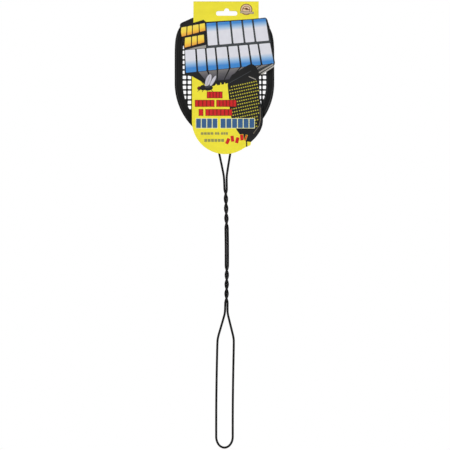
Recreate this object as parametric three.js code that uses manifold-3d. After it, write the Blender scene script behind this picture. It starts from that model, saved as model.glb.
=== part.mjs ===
// Wire-handled fly swatter in its folded header card, hanging as it does on a shop peg.
// Millimetres. +Z is up along the handle, -Y is the printed front, +X is to the right.
// The origin is the top of the card's hang slot, where the peg bears.

import * as THREE from 'three';
import { mergeVertices } from 'three/addons/utils/BufferGeometryUtils.js';
import Module from 'manifold-3d';

const wasm = await Module();
wasm.setup();

// ---- Driving dimensions ----------------------------------------------------------------

const AXIS_X = -2.5;             // the swatter sits a little left of the slot's centre

const HEAD_TOP_Z = -9.3;         // top edge of the moulded head, just under the hang slot
const HEAD_WIDEST_Z = -61.7;     // above this the outline is a superellipse
const HEAD_SIDE_END_Z = -84.5;   // below this the two bottom arcs begin
const HEAD_HALF_WIDTH = 56.3;
const SHOULDER_EXPONENT = 4;
const BOTTOM_ARC_RADIUS = 70.1;

const BORDER_WIDTH = 9.0;        // from the outer edge to the first holes
const RIM_BEAD_WIDTH = 2.2;
const INNER_BEAD_WIDTH = 1.6;
const RIM_THICKNESS = 2.6;
const INNER_BEAD_THICKNESS = 2.3;
const BAND_THICKNESS = 1.8;
const GRID_THICKNESS = 1.6;
const HOLE_PITCH = 5.65;
const HOLE_SIDE = 3.85;
const SLIVER_ALLOWANCE = 0.6;    // how far into the border a cut-off hole's centre may be
const GRID_FIRST_ROW_Z = -21.5;
const GRID_ROWS = 23;
const GRID_SIDE_COLUMNS = 8;     // columns on each side of the middle one

const NECK_END_Z = -162;
const NECK_END_HALF_WIDTH = 9.4;
const NECK_ROOT_Z = -146;
const NECK_ROOT_HALF_WIDTH = 13;
const GUSSET_BASE_Z = -140;
const GUSSET_HALF_WIDTH = 2.5 * HOLE_PITCH;   // its edges lie along bars of the grid
const GUSSET_TOP_Z = GRID_FIRST_ROW_Z - 18.5 * HOLE_PITCH;
const SOCKET_RADIUS = 2.5;
const SOCKET_TOP_Z = -134;
const BORE_RADIUS = 1.45;
const BORE_TOP_Z = -137.5;

const WIRE_RADIUS = 1.25;
const WIRE_SIDES = 8;
const WIRE_END_Z = -138;
const STRAND_SPACING = 2.6;      // between the two runs where they lie side by side
const TAPER_END_Z = -190;        // the runs close in from the neck to here
const TAPER_SLOPE = 0.19;
const SPREAD_START_Z = -344.2;    // the runs open out from here into the hand loop
const SPREAD_SLOPE = 0.277;
const BEND_SOFTNESS = 0.8;
const LOOP_HALF_WIDTH = 9.34;
const LOOP_BEND_Z = -484;
const LOOP_BEND_DEPTH = 12.35;
const UPPER_TWIST_Z = [-204.2, -248.3];
const LOWER_TWIST_Z = [-290.7, -332.9];
const TWIST_TURNS = 2;
const BOW_DEPTH = 2.7;           // the handle isn't quite straight
const BOW_PEAK_Z = -280;
const BOW_REACH_UP = 150;
const BOW_REACH_DOWN = 190;

const CARD_THICKNESS = 0.5;
const CARD_TOP_Z = 7.9;
const FOLD_INNER_RADIUS = 0.15;
const CARD_FLARE_Z = [-1, -9];   // the leaves part here to pass over the head
const LEAF_GAP = 1.6;            // from the head's middle plane to the front leaf
const LEAF_GAP_AT_NECK = 2.9;
const LEAF_NECK_Z = -132;
const BACK_LEAF_GAP = 2.15;
const BACK_LEAF_END_Z = -104;
const BACK_LEAF_CORNER = 8;
const TAB_LEFT_X = -37.6;
const TAB_RIGHT_X = 36.2;
const CARD_BOTTOM_ARC = { x: -1.9, z: -127.5, radius: 37.3 };
const SLOT_HALF_LENGTH = 12;
const SLOT_Z = [-8.4, -3.0];
const SLOT_CORNER = 2.4;
const NOTCH_RADIUS = 2.95;

const CUTTER_REACH = 20;         // how far a cutting prism runs past the part
const BORE_OVERRUN = 3;          // how far a bore's cutter runs past the neck's end
const STRIP_WIDTH = 130;         // of the uncut card, wider than both leaves
const STRIP_MARGIN = 1;          // of the uncut card, past the leaves' edges
const MERGE_TOLERANCE = 1e-4;

// ---- Solids ----------------------------------------------------------------------------

function toSolid(geometry) {
  const bare = geometry.clone();
  bare.deleteAttribute('normal');
  bare.deleteAttribute('uv');
  const merged = mergeVertices(bare, MERGE_TOLERANCE);
  const mesh = new wasm.Mesh({
    numProp: 3,
    vertProperties: new Float32Array(merged.attributes.position.array),
    triVerts: new Uint32Array(merged.index.array),
  });
  return new wasm.Manifold(mesh);
}

function toGeometry(solid) {
  const mesh = solid.getMesh();
  const geometry = new THREE.BufferGeometry();
  geometry.setAttribute('position', new THREE.BufferAttribute(mesh.vertProperties, 3));
  geometry.setIndex(new THREE.BufferAttribute(mesh.triVerts, 1));
  geometry.computeVertexNormals();
  return geometry;
}

// A prism along Y: the outline's two coordinates become X and Z.
function prism(shapes, yFront, yBack) {
  const geometry = new THREE.ExtrudeGeometry(shapes, {
    depth: yBack - yFront,
    bevelEnabled: false,
    curveSegments: 16,
  });
  geometry.rotateX(Math.PI / 2);
  geometry.translate(0, yBack, 0);
  return toSolid(geometry);
}

function slab(shapes, thickness) {
  return prism(shapes, -thickness / 2, thickness / 2);
}

function ringShape(outerPoints, innerPoints) {
  const ring = new THREE.Shape(outerPoints);
  ring.holes.push(new THREE.Path(innerPoints));
  return ring;
}

function namedMesh(name, geometry, color, roughness, metalness) {
  const material = new THREE.MeshStandardMaterial({ color, roughness, metalness });
  const mesh = new THREE.Mesh(geometry, material);
  mesh.name = name;
  return mesh;
}

// ---- Course of the wire ----------------------------------------------------------------

// Half the distance between the two runs of wire at height z.
function runDistance(z) {
  const softStep = (rise) => (rise + Math.hypot(rise, BEND_SOFTNESS)) / 2;
  const loopReach = LOOP_HALF_WIDTH - STRAND_SPACING / 2;
  const closing = softStep(TAPER_SLOPE * (z - TAPER_END_Z));
  const opening = SPREAD_SLOPE * (SPREAD_START_Z - z);
  return STRAND_SPACING / 2 + closing + softStep(opening) - softStep(opening - loopReach);
}

function handleCentreX(z) {
  const reach = z > BOW_PEAK_Z ? BOW_REACH_UP : BOW_REACH_DOWN;
  const share = Math.min(1, Math.abs(z - BOW_PEAK_Z) / reach);
  return AXIS_X + BOW_DEPTH * Math.cos(share * Math.PI / 2) ** 2;
}

// The angle by which the pair of runs has turned about the handle's axis at height z.
function twistAngle(z) {
  let turns = 0;
  for (const [topZ, endZ] of [UPPER_TWIST_Z, LOWER_TWIST_Z]) {
    turns += TWIST_TURNS * THREE.MathUtils.clamp((topZ - z) / (topZ - endZ), 0, 1);
  }
  return -2 * Math.PI * turns;
}

function runPoint(side, z) {
  const distance = side * runDistance(z);
  const angle = twistAngle(z);
  return new THREE.Vector3(
    handleCentreX(z) + distance * Math.cos(angle),
    distance * Math.sin(angle),
    z,
  );
}

// ---- Moulded head ----------------------------------------------------------------------

// The head's outline, moved inwards by `inset`: a squarish top, and two arcs that cross at
// the bottom. X is measured from the swatter's own axis.
function headOutline(inset) {
  const halfWidth = HEAD_HALF_WIDTH - inset;
  const height = HEAD_TOP_Z - HEAD_WIDEST_Z - inset;
  const arcRadius = BOTTOM_ARC_RADIUS - inset;
  const arcOffset = BOTTOM_ARC_RADIUS - HEAD_HALF_WIDTH;
  const arcEnd = Math.acos(arcOffset / arcRadius);
  const topSteps = 24;
  const arcSteps = 11;
  const points = [];
  for (let i = 0; i <= topSteps; i += 1) {
    const angle = Math.PI * i / topSteps;
    const across = Math.abs(Math.cos(angle)) ** (2 / SHOULDER_EXPONENT);
    const up = Math.sin(angle) ** (2 / SHOULDER_EXPONENT);
    const side = Math.sign(Math.cos(angle));
    points.push(new THREE.Vector2(side * halfWidth * across, HEAD_WIDEST_Z + height * up));
  }
  for (const side of [-1, 1]) {
    for (let i = 0; i <= arcSteps; i += 1) {
      const share = side < 0 ? i / arcSteps : 1 - i / arcSteps;
      const angle = arcEnd * share;
      const x = side * (arcRadius * Math.cos(angle) - arcOffset);
      const isSecondBottomPoint = side > 0 && i === 0;
      if (!isSecondBottomPoint) {
        points.push(new THREE.Vector2(x, HEAD_SIDE_END_Z - arcRadius * Math.sin(angle)));
      }
    }
  }
  return points;
}

function squareHole(centreX, centreZ) {
  const half = HOLE_SIDE / 2;
  const hole = new THREE.Shape();
  hole.moveTo(centreX - half, centreZ - half);
  hole.lineTo(centreX + half, centreZ - half);
  hole.lineTo(centreX + half, centreZ + half);
  hole.lineTo(centreX - half, centreZ + half);
  hole.closePath();
  return hole;
}

// Whether a point of the head lies inside its outline moved inwards by `inset`.
function isInsideHead(x, z, inset) {
  const halfWidth = HEAD_HALF_WIDTH - inset;
  if (z > HEAD_WIDEST_Z) {
    const up = (z - HEAD_WIDEST_Z) / (HEAD_TOP_Z - HEAD_WIDEST_Z - inset);
    const across = Math.abs(x) / halfWidth;
    return across ** SHOULDER_EXPONENT + up ** SHOULDER_EXPONENT < 1;
  }
  if (z > HEAD_SIDE_END_Z) {
    return Math.abs(x) < halfWidth;
  }
  const arcOffset = BOTTOM_ARC_RADIUS - HEAD_HALF_WIDTH;
  return Math.hypot(Math.abs(x) + arcOffset, z - HEAD_SIDE_END_Z) < BOTTOM_ARC_RADIUS - inset;
}

// All the square holes, cut off where they meet the border. A square of which only a
// sliver would be left is left out.
function gridHoles() {
  const squares = [];
  for (let row = 0; row < GRID_ROWS; row += 1) {
    const z = GRID_FIRST_ROW_Z - row * HOLE_PITCH;
    for (let column = -GRID_SIDE_COLUMNS; column <= GRID_SIDE_COLUMNS; column += 1) {
      const x = column * HOLE_PITCH;
      const isInNeck = Math.abs(x) < GUSSET_HALF_WIDTH && z < GUSSET_TOP_Z;
      if (!isInNeck && isInsideHead(x, z, BORDER_WIDTH - SLIVER_ALLOWANCE)) {
        squares.push(squareHole(x, z));
      }
    }
  }
  const field = new THREE.Shape(headOutline(BORDER_WIDTH));
  return slab(squares, CUTTER_REACH).intersect(slab(field, CUTTER_REACH));
}

// A round bar along one of the two wire ends, between two heights.
function barAlongWire(side, bottomZ, topZ, radius) {
  const bottom = runPoint(side, bottomZ);
  const top = runPoint(side, topZ);
  const along = new THREE.Vector3().subVectors(top, bottom);
  const geometry = new THREE.CylinderGeometry(radius, radius, along.length(), 16);
  const turn = new THREE.Quaternion().setFromUnitVectors(
    new THREE.Vector3(0, 1, 0),
    along.clone().normalize(),
  );
  geometry.applyQuaternion(turn);
  geometry.translate((bottom.x + top.x) / 2, 0, (bottom.z + top.z) / 2);
  return toSolid(geometry);
}

function neckShape() {
  const neck = new THREE.Shape();
  neck.moveTo(-NECK_END_HALF_WIDTH, NECK_END_Z);
  neck.lineTo(NECK_END_HALF_WIDTH, NECK_END_Z);
  neck.lineTo(NECK_ROOT_HALF_WIDTH, NECK_ROOT_Z);
  neck.lineTo(GUSSET_HALF_WIDTH, GUSSET_BASE_Z);
  neck.lineTo(GUSSET_HALF_WIDTH, GUSSET_TOP_Z);
  neck.lineTo(-GUSSET_HALF_WIDTH, GUSSET_TOP_Z);
  neck.lineTo(-GUSSET_HALF_WIDTH, GUSSET_BASE_Z);
  neck.lineTo(-NECK_ROOT_HALF_WIDTH, NECK_ROOT_Z);
  neck.closePath();
  return neck;
}

function makePaddle() {
  const rimInner = headOutline(RIM_BEAD_WIDTH);
  const fieldEdge = headOutline(BORDER_WIDTH);
  const beadOuter = headOutline(BORDER_WIDTH - INNER_BEAD_WIDTH);
  const insideRim = headOutline(RIM_BEAD_WIDTH / 2);
  let paddle = slab(ringShape(headOutline(0), rimInner), RIM_THICKNESS);
  paddle = paddle.add(slab(ringShape(insideRim, fieldEdge), BAND_THICKNESS));
  paddle = paddle.add(slab(ringShape(beadOuter, fieldEdge), INNER_BEAD_THICKNESS));
  paddle = paddle.add(slab(new THREE.Shape(beadOuter), GRID_THICKNESS).subtract(gridHoles()));
  paddle = paddle.add(slab(neckShape(), RIM_THICKNESS)).translate([AXIS_X, 0, 0]);
  for (const side of [-1, 1]) {
    paddle = paddle.add(barAlongWire(side, NECK_END_Z, SOCKET_TOP_Z, SOCKET_RADIUS));
  }
  for (const side of [-1, 1]) {
    paddle = paddle.subtract(barAlongWire(side, NECK_END_Z - BORE_OVERRUN, BORE_TOP_Z, BORE_RADIUS));
  }
  return toGeometry(paddle);
}

// ---- Wire handle -----------------------------------------------------------------------

// A curve through listed points, whose steps fall exactly on the points.
class PointRoute extends THREE.Curve {
  constructor(points) {
    super();
    this.points = points;
  }

  getUtoTmapping(u) {
    return u;
  }

  getPoint(t, target = new THREE.Vector3()) {
    const last = this.points.length - 1;
    const place = THREE.MathUtils.clamp(t, 0, 1) * last;
    const index = Math.min(Math.floor(place), last - 1);
    return target.lerpVectors(this.points[index], this.points[index + 1], place - index);
  }
}

// Heights of the route's points from the neck down to the loop, closest in the twists.
function runHeights() {
  const bendReach = 6;
  const spreadEndZ = SPREAD_START_Z - (LOOP_HALF_WIDTH - STRAND_SPACING / 2) / SPREAD_SLOPE;
  const twistSteps = 16 * TWIST_TURNS;
  const stretches = [
    [WIRE_END_Z, TAPER_END_Z + bendReach, 8],
    [TAPER_END_Z + bendReach, UPPER_TWIST_Z[0], 7],
    [UPPER_TWIST_Z[0], UPPER_TWIST_Z[1], twistSteps],
    [UPPER_TWIST_Z[1], LOWER_TWIST_Z[0], 6],
    [LOWER_TWIST_Z[0], LOWER_TWIST_Z[1], twistSteps],
    [LOWER_TWIST_Z[1], SPREAD_START_Z - bendReach, 7],
    [SPREAD_START_Z - bendReach, spreadEndZ + bendReach, 4],
    [spreadEndZ + bendReach, spreadEndZ - bendReach, 6],
    [spreadEndZ - bendReach, LOOP_BEND_Z, 8],
  ];
  const heights = [WIRE_END_Z];
  for (const [fromZ, toZ, steps] of stretches) {
    for (let i = 1; i <= steps; i += 1) {
      heights.push(THREE.MathUtils.lerp(fromZ, toZ, i / steps));
    }
  }
  return heights;
}

function loopBend() {
  const bendSteps = 14;
  const points = [];
  for (let i = 1; i < bendSteps; i += 1) {
    const angle = Math.PI * i / bendSteps;
    points.push(new THREE.Vector3(
      handleCentreX(LOOP_BEND_Z) - LOOP_HALF_WIDTH * Math.cos(angle),
      0,
      LOOP_BEND_Z - LOOP_BEND_DEPTH * Math.sin(angle),
    ));
  }
  return points;
}

function makeWireHandle() {
  const heights = runHeights();
  const leftRun = heights.map((z) => runPoint(-1, z));
  const rightRun = heights.map((z) => runPoint(1, z)).reverse();
  const route = new PointRoute([...leftRun, ...loopBend(), ...rightRun]);
  const section = new THREE.Shape();
  for (let i = 0; i < WIRE_SIDES; i += 1) {
    const angle = 2 * Math.PI * i / WIRE_SIDES;
    const point = [WIRE_RADIUS * Math.cos(angle), WIRE_RADIUS * Math.sin(angle)];
    if (i === 0) {
      section.moveTo(...point);
    } else {
      section.lineTo(...point);
    }
  }
  section.closePath();
  return new THREE.ExtrudeGeometry(section, {
    steps: route.points.length - 1,
    extrudePath: route,
    bevelEnabled: false,
  });
}

// ---- Folded header card ----------------------------------------------------------------

// The two leaves from the side, as one bent strip: front leaf, fold and back leaf.
function foldedStrip() {
  const foldZ = CARD_TOP_Z - CARD_THICKNESS - FOLD_INNER_RADIUS;
  const strip = new THREE.Shape();
  const bottomZ = CARD_BOTTOM_ARC.z - CARD_BOTTOM_ARC.radius - STRIP_MARGIN;
  strip.moveTo(-LEAF_GAP_AT_NECK - CARD_THICKNESS, bottomZ);
  strip.lineTo(-LEAF_GAP_AT_NECK, bottomZ);
  strip.lineTo(-LEAF_GAP_AT_NECK, LEAF_NECK_Z);
  strip.lineTo(-LEAF_GAP, CARD_FLARE_Z[1]);
  strip.lineTo(-FOLD_INNER_RADIUS, CARD_FLARE_Z[0]);
  strip.lineTo(-FOLD_INNER_RADIUS, foldZ);
  strip.absarc(0, foldZ, FOLD_INNER_RADIUS, Math.PI, 0, true);
  strip.lineTo(FOLD_INNER_RADIUS, CARD_FLARE_Z[0]);
  strip.lineTo(BACK_LEAF_GAP, CARD_FLARE_Z[1]);
  strip.lineTo(BACK_LEAF_GAP, BACK_LEAF_END_Z - STRIP_MARGIN);
  strip.lineTo(BACK_LEAF_GAP + CARD_THICKNESS, BACK_LEAF_END_Z - STRIP_MARGIN);
  strip.lineTo(BACK_LEAF_GAP + CARD_THICKNESS, CARD_FLARE_Z[1]);
  strip.lineTo(FOLD_INNER_RADIUS + CARD_THICKNESS, CARD_FLARE_Z[0]);
  strip.lineTo(FOLD_INNER_RADIUS + CARD_THICKNESS, foldZ);
  strip.absarc(0, foldZ, FOLD_INNER_RADIUS + CARD_THICKNESS, 0, Math.PI, false);
  strip.lineTo(-FOLD_INNER_RADIUS - CARD_THICKNESS, CARD_FLARE_Z[0]);
  strip.lineTo(-LEAF_GAP - CARD_THICKNESS, CARD_FLARE_Z[1]);
  strip.lineTo(-LEAF_GAP_AT_NECK - CARD_THICKNESS, LEAF_NECK_Z);
  strip.closePath();
  const geometry = new THREE.ExtrudeGeometry(strip, {
    depth: STRIP_WIDTH,
    bevelEnabled: false,
    curveSegments: 6,
  });
  geometry.rotateX(Math.PI / 2);
  geometry.rotateZ(Math.PI / 2);
  geometry.translate(-STRIP_WIDTH / 2, 0, 0);
  return toSolid(geometry);
}

// The front leaf is cut out around its printed panels: a badge at the upper left, two
// tilted banners, and a picture at the lower right that ends in a narrow neck.
function frontLeafShape() {
  const leaf = new THREE.Shape();
  leaf.moveTo(TAB_LEFT_X, CARD_TOP_Z + STRIP_MARGIN);
  leaf.lineTo(TAB_LEFT_X, -10.4);
  leaf.lineTo(-50.6, -16.2);
  leaf.quadraticCurveTo(-53.2, -17.6, -52.9, -20.4);
  leaf.lineTo(-47.8, -47);
  leaf.lineTo(-47.5, -74.6);
  leaf.lineTo(-39.2, -77.5);
  leaf.lineTo(CARD_BOTTOM_ARC.x - CARD_BOTTOM_ARC.radius, CARD_BOTTOM_ARC.z);
  leaf.absarc(CARD_BOTTOM_ARC.x, CARD_BOTTOM_ARC.z, CARD_BOTTOM_ARC.radius,
    Math.PI, Math.PI * 1.7, false);
  leaf.lineTo(26.9, -154.7);
  leaf.lineTo(27.5, -151);
  leaf.quadraticCurveTo(41.6, -139, 41, -125);
  leaf.quadraticCurveTo(40.4, -113, 37.4, -103);
  leaf.lineTo(36.6, -77.2);
  leaf.lineTo(53.4, -66.2);
  leaf.lineTo(54.5, -61.7);
  leaf.lineTo(48.6, -21.5);
  leaf.lineTo(46.5, -15);
  leaf.quadraticCurveTo(45.6, -10.3, 42.4, -10.6);
  leaf.lineTo(TAB_RIGHT_X, -11.5);
  leaf.lineTo(TAB_RIGHT_X, CARD_TOP_Z + STRIP_MARGIN);
  leaf.closePath();
  return leaf;
}

function backLeafShape() {
  const leaf = new THREE.Shape();
  leaf.moveTo(TAB_LEFT_X, CARD_TOP_Z + STRIP_MARGIN);
  leaf.lineTo(TAB_LEFT_X, BACK_LEAF_END_Z + BACK_LEAF_CORNER);
  leaf.absarc(TAB_LEFT_X + BACK_LEAF_CORNER, BACK_LEAF_END_Z + BACK_LEAF_CORNER,
    BACK_LEAF_CORNER, Math.PI, Math.PI * 1.5, false);
  leaf.absarc(TAB_RIGHT_X - BACK_LEAF_CORNER, BACK_LEAF_END_Z + BACK_LEAF_CORNER,
    BACK_LEAF_CORNER, Math.PI * 1.5, Math.PI * 2, false);
  leaf.lineTo(TAB_RIGHT_X, CARD_TOP_Z + STRIP_MARGIN);
  leaf.closePath();
  return leaf;
}

// A bar with rounded ends, and a round notch over its middle for the peg.
function hangSlot() {
  const bar = new THREE.Shape();
  const endX = SLOT_HALF_LENGTH - SLOT_CORNER;
  const lowZ = SLOT_Z[0] + SLOT_CORNER;
  const highZ = SLOT_Z[1] - SLOT_CORNER;
  bar.absarc(endX, lowZ, SLOT_CORNER, -Math.PI / 2, 0, false);
  bar.absarc(endX, highZ, SLOT_CORNER, 0, Math.PI / 2, false);
  bar.absarc(-endX, highZ, SLOT_CORNER, Math.PI / 2, Math.PI, false);
  bar.absarc(-endX, lowZ, SLOT_CORNER, Math.PI, Math.PI * 1.5, false);
  const notch = new THREE.Shape();
  notch.absarc(0, -NOTCH_RADIUS, NOTCH_RADIUS, 0, Math.PI * 2, false);
  return slab(bar, CUTTER_REACH).add(slab(notch, CUTTER_REACH));
}

function makeHeaderCard() {
  const front = prism(frontLeafShape(), -CUTTER_REACH, 0);
  const back = prism(backLeafShape(), 0, CUTTER_REACH);
  return toGeometry(foldedStrip().intersect(front.add(back)).subtract(hangSlot()));
}

// ---- Assembly --------------------------------------------------------------------------

const swatter = new THREE.Group();
swatter.add(namedMesh('paddle', makePaddle(), 0x1b1a19, 0.45, 0));
swatter.add(namedMesh('wire_handle', makeWireHandle(), 0x141312, 0.4, 0.3));

const assembly = new THREE.Group();
assembly.add(swatter);
assembly.add(namedMesh('header_card', makeHeaderCard(), 0xf2e03a, 0.35, 0));

export default assembly;
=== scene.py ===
import math

import bmesh
import bpy
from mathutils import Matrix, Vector
from mathutils.geometry import delaunay_2d_cdt


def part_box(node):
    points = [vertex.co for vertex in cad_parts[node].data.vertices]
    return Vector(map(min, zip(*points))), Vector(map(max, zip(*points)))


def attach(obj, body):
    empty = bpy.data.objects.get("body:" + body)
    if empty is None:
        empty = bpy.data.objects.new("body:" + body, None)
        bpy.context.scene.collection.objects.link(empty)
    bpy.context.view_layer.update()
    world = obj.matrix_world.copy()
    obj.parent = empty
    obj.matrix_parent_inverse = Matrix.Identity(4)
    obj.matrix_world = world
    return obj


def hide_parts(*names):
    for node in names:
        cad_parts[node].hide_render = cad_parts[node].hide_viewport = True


# A wire-handled fly swatter in its folded, printed header card, hanging as on a shop peg.
# Metres. +Z is up along the handle, -Y is the printed front, +X is to the right.

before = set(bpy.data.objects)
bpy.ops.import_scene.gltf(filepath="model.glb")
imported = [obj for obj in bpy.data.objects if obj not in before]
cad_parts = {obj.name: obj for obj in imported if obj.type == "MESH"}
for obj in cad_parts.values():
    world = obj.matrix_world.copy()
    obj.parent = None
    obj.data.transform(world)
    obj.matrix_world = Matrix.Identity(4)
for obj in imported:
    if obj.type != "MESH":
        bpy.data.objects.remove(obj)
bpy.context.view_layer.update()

MM = 0.001

head_low, head_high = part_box("paddle")
wire_low, wire_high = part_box("wire_handle")
card_low, card_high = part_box("header_card")

# ---- Stage ----

SENSOR_WIDTH = 36             # in millimetres, as a camera takes it
CAMERA_DISTANCE = 3.0
CAMERA_X = -1.9 * MM
VIEW_CENTRE_Z = -244.8 * MM
VIEW_HEIGHT = 508.5 * MM      # the object's height and a margin of 3 mm
LIGHT_AIM = Vector((0, 0, -0.22))

# Each light's name, place, side length and power in watts.
LIGHTS = [
    ("key", (-1.9, -1.6, 1.0), 1.2, 47),
    ("fill", (2.0, -1.6, 0.2), 1.4, 29),
    ("back", (1.1, 2.2, 0.8), 1.4, 55),
]
BACKDROP_STRENGTH = 1.0
SURROUNDINGS_STRENGTH = 0.1
FLOOR_Z = wire_low.z - 0.3
FLOOR_RADIUS = 2.4
FLOOR_GLOW = 0.22

# ---- Driving dimensions: moulded head ----

AXIS_X = (head_low.x + head_high.x) / 2
HEAD_TOP_Z = head_high.z
HEAD_HALF_WIDTH = (head_high.x - head_low.x) / 2
HEAD_WIDEST_Z = HEAD_TOP_Z - 52.4 * MM
HEAD_SIDE_END_Z = HEAD_TOP_Z - 75.2 * MM
SHOULDER_EXPONENT = 4
BOTTOM_ARC_RADIUS = 70.1 * MM
BORDER_WIDTH = 9.0 * MM
GRID_HALF_THICKNESS = 0.8 * MM
HOLE_PITCH = 5.65 * MM
HOLE_SIDE = 3.85 * MM
HOLE_CORNER = 0.6 * MM
HOLE_BEVEL = 0.14 * MM
SLIVER_ALLOWANCE = 0.6 * MM
GRID_FIRST_ROW_Z = HEAD_TOP_Z - 12.2 * MM
GRID_ROWS = 23
GRID_SIDE_COLUMNS = 8
GUSSET_HALF_WIDTH = 2.5 * HOLE_PITCH
GUSSET_TOP_Z = GRID_FIRST_ROW_Z - 18.5 * HOLE_PITCH

# The border's section in millimetres: distance in from the outer edge, and half the
# thickness there.
BORDER_SECTION = [
    (0.0, 0.78), (0.12, 1.05), (0.4, 1.23), (0.8, 1.3), (1.4, 1.3), (1.8, 1.22), (2.1, 1.03),
    (2.3, 0.93), (2.7, 0.9), (4.4, 0.9), (4.6, 0.98), (5.0, 0.98), (5.2, 0.9), (7.0, 0.9),
    (7.3, 0.97), (7.6, 1.11), (7.9, 1.15), (8.5, 1.15), (8.8, 1.03), (9.0, 0.8),
]

# ---- Driving dimensions: neck and wire ----

NECK_END_Z = head_low.z
NECK_END_HALF_WIDTH = 9.4 * MM
NECK_ROOT_Z = NECK_END_Z + 16 * MM
NECK_ROOT_HALF_WIDTH = 13.0 * MM
GUSSET_BASE_Z = NECK_END_Z + 22 * MM
NECK_HALF_THICKNESS = 1.42 * MM
NECK_BEVEL = 0.45 * MM
SOCKET_RADIUS = 2.45 * MM
SOCKET_LENGTH = 28.0 * MM
BORE_RADIUS = 1.45 * MM
BORE_DEPTH = 24.8 * MM
BORE_LIP = 0.3 * MM
SOCKET_SIDES = 32
POINT_RADIUS = 0.001 * MM     # a ring smaller than this is a single point

WIRE_RADIUS = 1.25 * MM
WIRE_SIDES = 24
WIRE_STEP = 1.8 * MM
TWIST_STEP = 0.7 * MM
TWIST_MARGIN = 4 * MM         # how far the finer steps go on past a twist
LOOP_BEND_STEPS = 40
WIRE_END_Z = wire_high.z
STRAND_SPACING = 2.52 * MM
TAPER_END_Z = -190 * MM
TAPER_SLOPE = 0.19
SPREAD_START_Z = -344.2 * MM
SPREAD_SLOPE = 0.277
BEND_SOFTNESS = 0.8 * MM
LOOP_HALF_WIDTH = 9.34 * MM
LOOP_BEND_Z = -484 * MM
LOOP_BEND_DEPTH = LOOP_BEND_Z - wire_low.z - WIRE_RADIUS
TWISTS_Z = [(-204.2 * MM, -248.3 * MM), (-290.7 * MM, -332.9 * MM)]
TWIST_TURNS = 2
TWIST_SOFTNESS = 0.03
BOW_DEPTH = 2.7 * MM
BOW_PEAK_Z = -280 * MM
BOW_REACH_UP = 150 * MM
BOW_REACH_DOWN = 190 * MM

# ---- Driving dimensions: header card, in millimetres ----

CARD_THICKNESS = 0.5
FOLD_RADIUS = 0.65
FOLD_LENGTH = math.pi * FOLD_RADIUS
FOLD_Z = card_high.z / MM - FOLD_RADIUS
FLARE_TOP_Z = -1
FLARE_END_Z = -9
FRONT_FACE = 2.1             # from the head's middle plane to the printed face
FRONT_NECK_FACE = -card_low.y / MM
FRONT_NECK_Z = -132
BACK_FACE = card_high.y / MM
BACK_END_Z = -104
BACK_CORNER = 8
CURL_DEPTH = 0.45            # how far the front leaf's free wings stand forward
CURL_HALF_WIDTH = 55
TAB_LEFT_X = -37.6
TAB_RIGHT_X = 36.2
BOTTOM_ARC_CENTRE = (-1.9, -127.5)
BOTTOM_ARC_SIZE = 37.3
SLOT_HALF_LENGTH = 12
SLOT_TOP_Z = -3.0
SLOT_BOTTOM_Z = -8.4
SLOT_CORNER = 2.4
NOTCH_RADIUS = 2.95
CURL_START_Z = -14
CURL_FULL_Z = -45
CURL_FADE_Z = -75
FOLD_STEPS = 12
FLARE_STEPS = 8
SHEET_LINE_SPACING = 7
SHEET_SIDE_LINES = 7
SHEET_LINE_REACH = 70
SHEET_LINE_MARGIN = 10
CARD_REACH = 60               # past the card's edge on both sides, for print that runs off it

# ---- Driving dimensions: print on the card, in millimetres ----

TITLE_SLOPE = 0.087           # the rise to the right of the title's lines of one colour
TITLE_TOP_ROW = [(-21.1, -42.3), (47.7, -36.6), (44.0, -11.6), (-22.9, -16.9)]
TITLE_BOTTOM_ROW = [(-45.9, -73.0), (53.2, -62.4), (48.9, -39.3), (-47.1, -47.4)]
TITLE_TOP_WIDTHS = [10.6, 13.6, 11.2, 10, 13.8]
TITLE_BOTTOM_WIDTHS = [11.8, 9.4, 9.4, 12, 10.6, 10, 9.4, 12.8]
TITLE_GAP = 2.0
TITLE_OUTLINE = 0.5
TITLE_CORNER = 0.9
EXTRUSION_FOCUS = (-10.9, -97)
EXTRUSION_SHARE = 0.45        # how much of the way to the focus the blocks' sides run
EMBLEM_SLOPE = 0.25
SEAL_CENTRE = (22.2, -1.3)
PICTURE_LEAN = math.radians(12.4)
PICTURE_SPINE_TOP = (6.9, -88.4)
PICTURE_SPINE_HALF_WIDTH = 0.2
PICTURE_PITCH_ACROSS = 2.55
PICTURE_PITCH_DOWN = 3.55
PICTURE_HOLE_HALF_LENGTH = 0.68
PICTURE_HOLE_WIDTH = 1.3


# ---- Scene ----

def make_camera():
    """Square-on to the card, at the height of the object's middle, with a long lens."""
    data = bpy.data.cameras.new("camera")
    data.sensor_width = SENSOR_WIDTH
    data.lens = SENSOR_WIDTH * CAMERA_DISTANCE / VIEW_HEIGHT
    camera = bpy.data.objects.new("camera", data)
    camera.location = (CAMERA_X, -CAMERA_DISTANCE, VIEW_CENTRE_Z)
    camera.rotation_euler = (math.radians(90), 0, 0)
    bpy.context.scene.collection.objects.link(camera)
    bpy.context.scene.camera = camera


def make_light(name, place, size, power):
    """A square light that faces the object."""
    data = bpy.data.lights.new(name, "AREA")
    data.size = size
    data.energy = power
    light = bpy.data.objects.new(name, data)
    light.location = place
    aim = LIGHT_AIM - light.location
    light.rotation_euler = aim.to_track_quat("-Z", "Y").to_euler()
    bpy.context.scene.collection.objects.link(light)


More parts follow.
